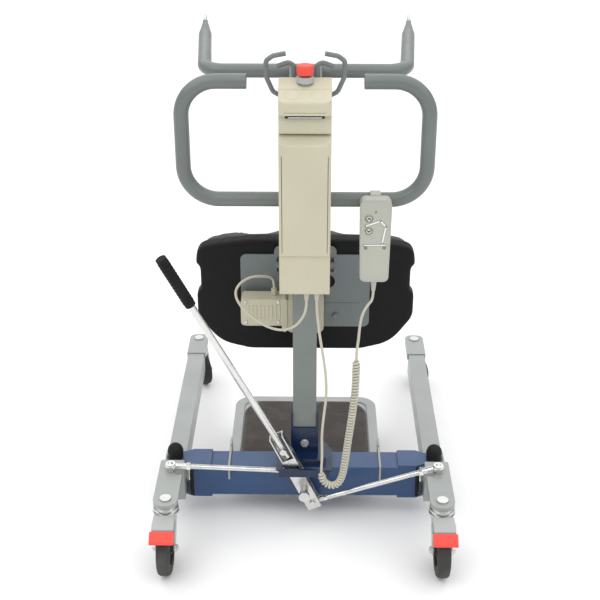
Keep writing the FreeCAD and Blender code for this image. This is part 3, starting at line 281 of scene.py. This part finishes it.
LOOKS = {
    "blue": paint("blue_paint", BLUE, 0.34, 0.25),
    "deep_blue": paint("deep_blue_paint", DEEP_BLUE, 0.34, 0.25),
    "silver": paint("silver_paint", SILVER, 0.38, 0.12),
    # Painted shade: the silver paint darkened for the mast's shaded front.
    "mast": paint("silver_paint_with_painted_shade", (0.198, 0.221, 0.208), 0.42, 0.08),
    "grey": paint("grey_paint", GREY, 0.36, 0.2),
    "plate_grey": paint("plate_grey_paint", (0.166, 0.190, 0.190), 0.42, 0.08),
    "cream": moulded("cream_plastic", CREAM, 0.42, 1400.0, 0.10, 1.08),
    "handset": moulded("handset_plastic", (0.44, 0.45, 0.39), 0.45, 1400.0, 0.10, 1.08),
    "cord": moulded("cord_jacket", (0.52, 0.50, 0.41), 0.48, 900.0, 0.08, 1.0, 0.0004),
    "zinc": plated("zinc_plate", ZINC, 0.27, 0.15),
    "bright": plated("bright_zinc", (0.74, 0.74, 0.73), 0.20, 0.08),
    "chrome": plated("chrome_rod", (0.80, 0.80, 0.81), 0.10, 0.05),
    "aluminium": plated("drawn_aluminium", (0.62, 0.63, 0.64), 0.33, 0.05),
    "grip": rubber("grip_rubber", BLACK, 0.62, 0.12),
    # The black shell's high edge gain paints a highlight along its rim.
    "shell": moulded("shell_plastic", (0.012, 0.012, 0.013), 0.52, 520.0, 0.30, 1.6, 0.003, 0.12),
    "hub": moulded("hub_plastic", (0.030, 0.030, 0.032), 0.5, 900.0, 0.15, 1.5, 0.0015, 0.25),
    "tyre": rubber("tyre_rubber", (0.050, 0.050, 0.048), 0.70, 0.24),
    "rubber": rubber("cap_rubber", (0.014, 0.013, 0.013), 0.62, 0.10),
    "mat": rubber("mat_rubber", (0.076, 0.068, 0.064), 0.85, 0.12),
    "cover": moulded("cover_plastic", (0.42, 0.43, 0.42), 0.45, 900.0, 0.12, 1.2),
    "red": moulded("red_plastic", (0.86, 0.085, 0.065), 0.36, 900.0, 0.06, 1.15, 0.0015, 0.25),
    "vinyl": vinyl("pad_vinyl", (0.014, 0.014, 0.016)),
    "keys": moulded("keypad", (0.20, 0.22, 0.23), 0.5, 1500.0, 0.1, 1.3, 0.0006),
    "pale_key": moulded("pale_key", (0.60, 0.61, 0.55), 0.42, 1500.0, 0.05, 1.1, 0.0006),
    "white": moulded("print_white", (0.82, 0.82, 0.80), 0.4, 1500.0, 0.05, 1.0, 0.0002),
    "label": moulded("label_film", (0.48, 0.50, 0.49), 0.33, 1500.0, 0.05, 1.05, 0.0004),
    "lamp": moulded("lamp_lens", (0.05, 0.32, 0.12), 0.2, 1500.0, 0.03, 1.1, 0.0004),
    # Dark print on the buttons, and painted shade in the battery slot.
    "dark": moulded("dark_print_and_painted_shade", (0.02, 0.02, 0.022), 0.6, 900.0, 0.1, 1.2, 0.0006),
}


def wear(look, *names):
    for name in names:
        mesh = NODES[name].data
        mesh.materials.clear()
        mesh.materials.append(LOOKS[look])


def pair(stem):
    return [f"{stem}_{side}" for _, side in SIDES]


def dress_frame():
    wear("blue", "base_crossbeam")
    wear("deep_blue", "mast_socket")
    wear("silver", "footplate_frame", *pair("leg"), *pair("leg_toe"))
    # The mast wears the darkened silver paint, a painted shade.
    wear("mast", "mast")
    wear("grey", "push_handle", "boom", "handle_saddle", "sling_storage_rods")
    wear("plate_grey", "knee_bracket", "knee_plate")
    wear("cream", "control_box", "battery_pack", "actuator_housing")
    wear("handset", "handset")
    wear("cord", "box_glands")
    wear("zinc", "lever_channel", "lever_pins", "pivot_pins", "actuator_upper_pin", "sling_hooks",
         *pair("ball_stud"), *pair("rear_caster_fork"), *pair("front_caster_fork"))
    wear("bright", "lever_tube", *pair("tie_rod"))
    wear("chrome", "actuator_piston")
    wear("aluminium", "actuator_tube")
    wear("grip", "lever_grip")
    wear("hub", *pair("rear_hub"), *pair("front_wheel"))
    wear("tyre", *pair("rear_tyre"))
    wear("rubber", "rubber_caps")
    wear("mat", "footplate_mats")
    wear("cover", "stop_button_collar", *pair("brake_cover"))
    wear("red", "stop_button", *pair("brake_pedal"))
    wear("pale_key", "handset_button_up", "handset_button_down")


# ------------------------------------------------------------------------------ cords
CORD = 0.006
COIL_RADIUS = 0.0062
COIL_PITCH = 0.0074
TURN_POINTS = 12

ACTUATOR_ROUTE = [(4, -255, 612), (4, -255, 592), (-4, -252, 566), (-22, -242, 538),
                  (-50, -226, 520), (-84, -206, 518), (-120, -186, 532), (-148, -168, 554),
                  (-160, -152, 576), (-150, -138, 594), (-126, -124, 604), (-100, -110, 600),
                  (-79, -98, 592), (-72, -96, 580), (-72, -96, 562)]
STRAIGHT_ROUTE = [(26, -255, 612), (26, -255, 592), (30, -258, 552), (36, -261, 508),
                  (44, -265, 462), (49, -268, 416), (49, -270, 370), (44, -271, 324),
                  (40, -272, 278), (41, -274, 236), (41, -280, 208), (40, -282, 196),
                  (40, -282, 180)]
CURL_ROUTE = [(40, -282, 180), (40, -282, 160), (56, -284, 143), (76, -284, 144),
              (88, -283, 166), (94, -283, 206), (100, -281, 266), (108, -279, 330),
              (114, -276, 394), (115, -271, 450), (115, -271, 474)]
HANDSET_ROUTE = [(115, -271, 474), (115, -271, 492), (119, -264, 522), (121, -258, 550),
                 (126, -248, 574), (137, -237, 590), (150, -224, 598), (150, -224, 620)]


def metres(route):
    return [Vector(point) / 1000 for point in route]


def spline_curve(name, points, resolution=8):
    data = bpy.data.curves.new(name, "CURVE")
    data.dimensions = "3D"
    data.resolution_u = resolution
    spline = data.splines.new("NURBS")
    spline.points.add(len(points) - 1)
    for target, point in zip(spline.points, points):
        target.co = (*point, 1.0)
    spline.order_u = 3
    spline.use_endpoint_u = True
    curve = bpy.data.objects.new(name, data)
    SCENE.collection.objects.link(curve)
    return curve


def spline_points(points):
    """Points along the smooth line of a route."""
    curve = spline_curve("guide", points, 24)
    bpy.context.view_layer.update()
    mesh = bpy.data.meshes.new_from_object(curve)
    line = [vertex.co.copy() for vertex in mesh.vertices]
    bpy.data.objects.remove(curve)
    bpy.data.meshes.remove(mesh)
    return line


def resampled(line, step):
    """Even steps along a line, as points and tangents."""
    lengths = [0.0]
    for one, two in zip(line, line[1:]):
        lengths.append(lengths[-1] + (two - one).length)
    count = int(lengths[-1] / step)
    places = []
    index = 0
    for k in range(count + 1):
        target = lengths[-1] * k / count
        while index < len(line) - 2 and lengths[index + 1] < target:
            index += 1
        span = max(lengths[index + 1] - lengths[index], 1e-9)
        share = (target - lengths[index]) / span
        places.append((line[index].lerp(line[index + 1], share),
                       (line[index + 1] - line[index]).normalized()))
    return places


def helix(line, pitch, radius):
    """Control points that wind round a line, easing in and out of the coil."""
    places = resampled(line, pitch / TURN_POINTS)
    side = places[0][1].orthogonal().normalized()
    before = places[0][1]
    wound = []
    ease = 1.5 * TURN_POINTS
    for index, (point, tangent) in enumerate(places):
        side.rotate(before.rotation_difference(tangent))
        side = (side - tangent * side.dot(tangent)).normalized()
        before = tangent
        other = tangent.cross(side)
        turn = 2 * math.pi * index / TURN_POINTS
        share = min(1.0, index / ease, (len(places) - 1 - index) / ease)
        reach = radius * share
        wound.append(point + side * math.cos(turn) * reach + other * math.sin(turn) * reach)
    return wound


def make_cord(name, points, nodes, far_body=None):
    """A cord along the route, attached to the frame; with a far body given, it is baked into a
    loose mesh in place instead.
    """
    piece = spline_curve(name, points)
    piece.data.bevel_depth = CORD / 2
    piece.data.bevel_resolution = 5
    piece.data.use_fill_caps = True
    piece.data.materials.append(LOOKS["cord"])
    line = spline_points(points)
    if far_body:
        piece = as_mesh(piece, name)
        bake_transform(piece)
    else:
        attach(piece, "frame")
    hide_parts(*nodes)


def as_mesh(curve, name):
    bpy.context.view_layer.update()
    depsgraph = bpy.context.evaluated_depsgraph_get()
    mesh = bpy.data.meshes.new_from_object(curve.evaluated_get(depsgraph))
    bpy.data.objects.remove(curve)
    for face in mesh.polygons:
        face.use_smooth = True
    piece = bpy.data.objects.new(name, mesh)
    SCENE.collection.objects.link(piece)
    return piece


def make_cords():
    make_cord("actuator_lead", metres(ACTUATOR_ROUTE), ["actuator_cord"])
    coil = helix(spline_points(metres(CURL_ROUTE)), COIL_PITCH, COIL_RADIUS)
    whole = metres(STRAIGHT_ROUTE)[:-1] + coil + metres(HANDSET_ROUTE)[1:]
    make_cord("handset_lead", whole,
              ["handset_cord_lower", "handset_cord_curl", "handset_cord_upper"],
              "handset_unit")


# ---------------------------------------------------------------------- made pieces
def add_piece(name, bm, look, body, smooth=True):
    mesh = bpy.data.meshes.new(name)
    bm.to_mesh(mesh)
    bm.free()
    mesh.materials.append(LOOKS[look])
    for face in mesh.polygons:
        face.use_smooth = smooth
    piece = bpy.data.objects.new(name, mesh)
    SCENE.collection.objects.link(piece)
    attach(piece, body)
    return piece


def soft_copy(name, node, voxel, rounds, shrink):
    """A remeshed copy of a CAD solid whose edges are relaxed into round ones."""
    source = NODES[node]
    mesh = source.data.copy()
    piece = bpy.data.objects.new(name, mesh)
    SCENE.collection.objects.link(piece)
    low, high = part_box(node)
    centre = (low + high) / 2
    size = high - low
    for vertex in mesh.vertices:
        for axis in range(3):
            factor = 1 - 2 * shrink / size[axis]
            vertex.co[axis] = centre[axis] + (vertex.co[axis] - centre[axis]) * factor
    remesh = piece.modifiers.new("remesh", "REMESH")
    remesh.mode = "VOXEL"
    remesh.voxel_size = voxel
    relax = piece.modifiers.new("relax", "SMOOTH")
    relax.factor = 0.5
    relax.iterations = rounds
    bake_modifiers(piece)
    return piece


def bake_modifiers(piece):
    bpy.context.view_layer.update()
    depsgraph = bpy.context.evaluated_depsgraph_get()
    mesh = bpy.data.meshes.new_from_object(piece.evaluated_get(depsgraph))
    piece.modifiers.clear()
    piece.data = mesh


def inflate(piece, frames, pressure, cap):
    """A short cloth run under pressure; no point moves further than cap."""
    start = [vertex.co.copy() for vertex in piece.data.vertices]
    cloth = piece.modifiers.new("cloth", "CLOTH")
    cloth.settings.use_pressure = True
    cloth.settings.uniform_pressure_force = pressure
    cloth.settings.effector_weights.gravity = 0.0
    cloth.point_cache.frame_start = 1
    cloth.point_cache.frame_end = frames
    for number in range(1, frames + 1):
        SCENE.frame_set(number)
    bake_modifiers(piece)
    SCENE.frame_set(1)
    for vertex, rest in zip(piece.data.vertices, start):
        moved = vertex.co - rest
        if moved.length > cap:
            vertex.co = rest + moved.normalized() * cap


def clamp_inside(piece, low, high):
    for vertex in piece.data.vertices:
        for axis in range(3):
            vertex.co[axis] = min(max(vertex.co[axis], low[axis]), high[axis])


def make_knee_pad():
    shell = soft_copy("knee_pad_shell", "knee_shell", 0.005, 14, 0.0)
    low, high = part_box("knee_shell")
    clamp_inside(shell, low, high)
    finish_soft(shell, "shell", "knee_shell")
    pad = soft_copy("knee_pad_cushion", "knee_cushion", 0.0055, 10, 0.003)
    inflate(pad, 16, 3.0, 0.006)
    low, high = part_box("knee_cushion")
    clamp_inside(pad, low - Vector((0.004, 0.0, 0.004)), high + Vector((0.004, 0.004, 0.004)))
    finish_soft(pad, "vinyl", "knee_cushion")
    bpy.context.view_layer.update()
    make_piping(pad)


def finish_soft(piece, look, node):
    piece.data.materials.clear()
    piece.data.materials.append(LOOKS[look])
    for face in piece.data.polygons:
        face.use_smooth = True
        face.material_index = 0
    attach(piece, "knee_pad")
    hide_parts(node)


def lathe(bm, profile, origin, axis, segments=40):
    """Turns (distance along axis, radius) pairs into a skin, closed where the radius is 0."""
    axis = Vector(axis).normalized()
    side = axis.orthogonal().normalized()
    other = axis.cross(side)
    rings = []
    for along, radius in profile:
        centre = Vector(origin) + axis * along
        if radius < 1e-6:
            rings.append([bm.verts.new(centre)])
            continue
        rings.append([bm.verts.new(centre + (side * math.cos(a) + other * math.sin(a)) * radius)
                      for a in (2 * math.pi * k / segments for k in range(segments))])
    for one, two in zip(rings, rings[1:]):
        for k in range(segments):
            corners = [one[k % len(one)], one[(k + 1) % len(one)],
                       two[(k + 1) % len(two)], two[k % len(two)]]
            unique = list(dict.fromkeys(corners))
            if len(unique) > 2:
                bm.faces.new(unique)


def slab(bm, low, high, bevel):
    """A block with rounded edges between two corners."""
    low = Vector(low)
    high = Vector(high)
    made = bmesh.ops.create_cube(bm, size=1.0)["verts"]
    for vertex in made:
        for axis in range(3):
            vertex.co[axis] = low[axis] if vertex.co[axis] < 0 else high[axis]
    edges = list({edge for vertex in made for edge in vertex.link_edges})
    bmesh.ops.bevel(bm, geom=edges, offset=bevel, segments=2, affect="EDGES", profile=0.6)


def strip(bm, points, width, thick, y):
    """A flat raised line on a face square to Y, with round corners where it turns."""
    for one, two in zip(points, points[1:]):
        run = Vector((two[0] - one[0], 0.0, two[1] - one[1]))
        side = Vector((-run.z, 0.0, run.x)).normalized() * width / 2
        base = [Vector((one[0], y, one[1])) + side, Vector((one[0], y, one[1])) - side,
                Vector((two[0], y, two[1])) - side, Vector((two[0], y, two[1])) + side]
        front = [bm.verts.new(v - Vector((0.0, thick, 0.0))) for v in base]
        back = [bm.verts.new(v) for v in base]
        bm.faces.new(front)
        bm.faces.new(back[::-1])
        for k in range(4):
            bm.faces.new([front[k], back[k], back[(k + 1) % 4], front[(k + 1) % 4]])
    for x, z in points:
        lathe(bm, [(0.0, 0.0), (0.0, width / 2), (thick, width / 2), (thick, 0.0)],
              (x, y, z), (0.0, -1.0, 0.0), 20)


def thread_profile(length, radius, pitch, depth):
    profile = [(0.0, 0.0)]
    for k in range(int(length / pitch)):
        profile.append((k * pitch, radius - depth))
        profile.append((k * pitch + pitch * 0.5, radius))
    profile += [(length, radius - depth), (length, 0.0)]
    return profile


# ---------------------------------------------------------------- handset and its print
HANDSET_MIDDLE = 0.150
HANDSET_TOP = 0.838


def make_handset_details():
    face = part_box("handset")[0].y

    def spot(x, z):
        """A place on the face, in millimetres right of its middle and down from its top."""
        return HANDSET_MIDDLE + x / 1000, HANDSET_TOP - z / 1000

    arm = [spot(-22, 59), spot(10, 47), spot(22, 60), spot(15, 99)]
    base = [spot(-25, 103), spot(24, 103)]
    shadow = bmesh.new()
    strip(shadow, arm, 0.0052, 0.0005, face)
    strip(shadow, base, 0.0040, 0.0005, face)
    add_piece("handset_print_outline", shadow, "keys", "handset_unit", False)
    light = bmesh.new()
    strip(light, arm, 0.0036, 0.0009, face)
    strip(light, base, 0.0024, 0.0009, face)
    add_piece("handset_print_lift", light, "white", "handset_unit", False)
    wheels = bmesh.new()
    for x in (-20, 20):
        u, w = spot(x, 109)
        lathe(wheels, [(0.0, 0.0), (0.0, 0.0040), (0.0008, 0.0040), (0.0008, 0.0026),
                       (0.0005, 0.0026), (0.0005, 0.0)], (u, face, w), (0.0, -1.0, 0.0))
    add_piece("handset_print_wheels", wheels, "keys", "handset_unit", False)
    lamp = bmesh.new()
    u, w = spot(0, 27)
    lathe(lamp, [(0.0, 0.0), (0.0, 0.0022), (0.0008, 0.0018), (0.0012, 0.0)],
          (u, face, w), (0.0, -1.0, 0.0))
    add_piece("handset_lamp", lamp, "lamp", "handset_unit")
    rim = bmesh.new()
    edge = [spot(-29, 3), spot(29, 3), spot(31, 10), spot(29, 182), spot(24, 187),
            spot(-24, 187), spot(-29, 182), spot(-31, 10), spot(-29, 3)]
    strip(rim, edge, 0.0007, 0.0004, face)
    add_piece("handset_face_seam", rim, "label", "handset_unit", False)


def make_button_details():
    for way, name in ((1, "up"), (-1, "down")):
        low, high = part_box(f"handset_button_{name}")
        centre = (low + high) / 2
        ring = bmesh.new()
        lathe(ring, [(0.0, 0.0076), (0.0006, 0.0073), (0.0006, 0.0064), (0.0, 0.0061)],
              (centre.x, low.y, centre.z), (0.0, -1.0, 0.0))
        add_piece(f"button_ring_{name}", ring, "dark", f"button_{name}")
        mark = bmesh.new()
        points = [(centre.x - 0.0034, centre.z - way * 0.0016),
                  (centre.x, centre.z + way * 0.0020),
                  (centre.x + 0.0034, centre.z - way * 0.0016)]
        strip(mark, points, 0.0019, 0.0005, low.y)
        add_piece(f"button_mark_{name}", mark, "dark", f"button_{name}", False)


# ----------------------------------------------------------------- box, battery, motor
BATTERY_TOP_REAR = 1.062
BATTERY_TOP_RISE = 0.034
BATTERY_TOP_DEPTH = 0.078
MOTOR_REAR = -0.120


def make_box_details():
    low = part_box("battery_pack")[0]
    # Painted shade: a dark block fills the slot opening behind the latch bar.
    slot = bmesh.new()
    slab(slot, (-0.0385, low.y + 0.009, 1.0262), (0.0385, low.y + 0.016, 1.0322), 0.0012)
    add_piece("battery_slot_painted_shade", slot, "dark", "battery")
    tongue = bmesh.new()
    slab(tongue, (-0.034, low.y + 0.006, 1.0278), (0.034, low.y + 0.0095, 1.0305), 0.0008)
    add_piece("battery_latch_bar", tongue, "zinc", "battery")
    slope = math.atan2(BATTERY_TOP_RISE, BATTERY_TOP_DEPTH)
    normal = Vector((0.0, -math.sin(slope), math.cos(slope)))
    discs = bmesh.new()
    for x in (-0.026, 0.026):
        lathe(discs, [(-0.0004, 0.0155), (0.0005, 0.0150), (0.0005, 0.0138), (-0.0002, 0.0132)],
              (x, -0.262, BATTERY_TOP_REAR + 0.022 * math.tan(slope)), normal)
    add_piece("battery_embossed_rings", discs, "cream", "battery")
    screws = bmesh.new()
    for x in (-0.138, -0.062):
        for z in (0.486, 0.538):
            lathe(screws, [(0.0, 0.0), (0.0, 0.0042), (0.0012, 0.0042), (0.0022, 0.0030),
                           (0.0022, 0.0012), (0.0012, 0.0)],
                  (x, MOTOR_REAR, z), (0.0, -1.0, 0.0))
    add_piece("motor_screws", screws, "zinc", "frame")
    ribs = bmesh.new()
    for k in range(9):
        x = -0.132 + k * 0.009
        slab(ribs, (x, -0.1212, 0.494), (x + 0.003, -0.1195, 0.530), 0.0005)
    add_piece("motor_ribs", ribs, "cream", "frame")


# ------------------------------------------------------------------- rods, mats, piping
STUD = Vector((0.313, -0.260, 0.179))
LEVER_AXIS_Y = -0.225
LEVER_AXIS_Z = 0.098
LEVER_TILT = math.radians(25)
LEVER_PIN_REACH = 0.046


def make_rod_threads():
    """Threads near both ends of each tie rod."""
    drop = (math.cos(LEVER_TILT) + 1) / 2 * LEVER_PIN_REACH
    for side, name in SIDES:
        stud = Vector((STUD.x * side, STUD.y, STUD.z))
        eye = Vector((side * LEVER_PIN_REACH * math.sin(LEVER_TILT), LEVER_AXIS_Y,
                      LEVER_AXIS_Z - side * drop))
        along = (eye - stud).normalized()
        bm = bmesh.new()
        lathe(bm, thread_profile(0.026, 0.0066, 0.0016, 0.0007), stud + along * 0.046, along, 24)
        reach = (eye - stud).length
        lathe(bm, thread_profile(0.022, 0.0066, 0.0016, 0.0007),
              stud + along * (reach - 0.064), along, 24)
        add_piece(f"tie_rod_threads_{name}", bm, "zinc", f"tie_rod_{name}")


def make_mat_ribs():
    """Fine raised ribs across each foot mat, shorter where the mat's front is rounded."""
    low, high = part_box("footplate_mats")
    corner = 0.060
    for side, name in SIDES:
        inner = 0.009
        outer = high.x - 0.007
        bm = bmesh.new()
        y = low.y + 0.010
        while y < high.y - 0.008:
            over = max(0.0, y - (high.y - corner))
            cut = corner - math.sqrt(max(corner ** 2 - over ** 2, 0.0))
            one = side * (inner + cut)
            two = side * (outer - cut)
            slab(bm, (min(one, two), y, high.z - 0.0008),
                 (max(one, two), y + 0.0030, high.z + 0.0006), 0.0003)
            y += 0.0052
        add_piece(f"mat_ribs_{name}", bm, "mat", "footplate")


def make_piping(pad):
    """A sewn bead round the pad, on its own outline a little in from its back face."""
    low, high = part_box("knee_cushion")
    level = low.y + 0.010
    centre = (low + high) / 2
    points = []
    for k in range(96):
        angle = 2 * math.pi * k / 96
        ray = Vector((math.cos(angle), 0.0, math.sin(angle)))
        start = Vector((centre.x, level, centre.z))
        hit, where = pad.ray_cast(start + ray * 0.5, -ray)[:2]
        if hit:
            points.append(where + ray * 0.0005)
    data = bpy.data.curves.new("knee_pad_piping", "CURVE")
    data.dimensions = "3D"
    data.resolution_u = 3
    spline = data.splines.new("NURBS")
    spline.points.add(len(points) - 1)
    for target, point in zip(spline.points, points):
        target.co = (*point, 1.0)
    spline.order_u = 3
    spline.use_cyclic_u = True
    data.bevel_depth = 0.0028
    data.bevel_resolution = 3
    data.materials.append(LOOKS["vinyl"])
    bead = bpy.data.objects.new("knee_pad_piping", data)
    SCENE.collection.objects.link(bead)
    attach(bead, "knee_pad")


make_camera()
make_world()
make_floor()
make_light("ceiling", (0.0, 2.0, 5.0), (0, 2.0, 0.0), (16.0, 20.0), 1000.0)
make_light("key", (-1.8, -1.6, 3.0), (0, 0, 0.5), (2.0, 2.0), 12.0)
make_light("fill", (2.4, -1.6, 1.8), (0, 0, 0.6), (1.8, 1.8), 6.0)
make_cords()
dress_frame()
make_knee_pad()
make_handset_details()
make_button_details()
make_box_details()
make_rod_threads()
make_mat_ribs()
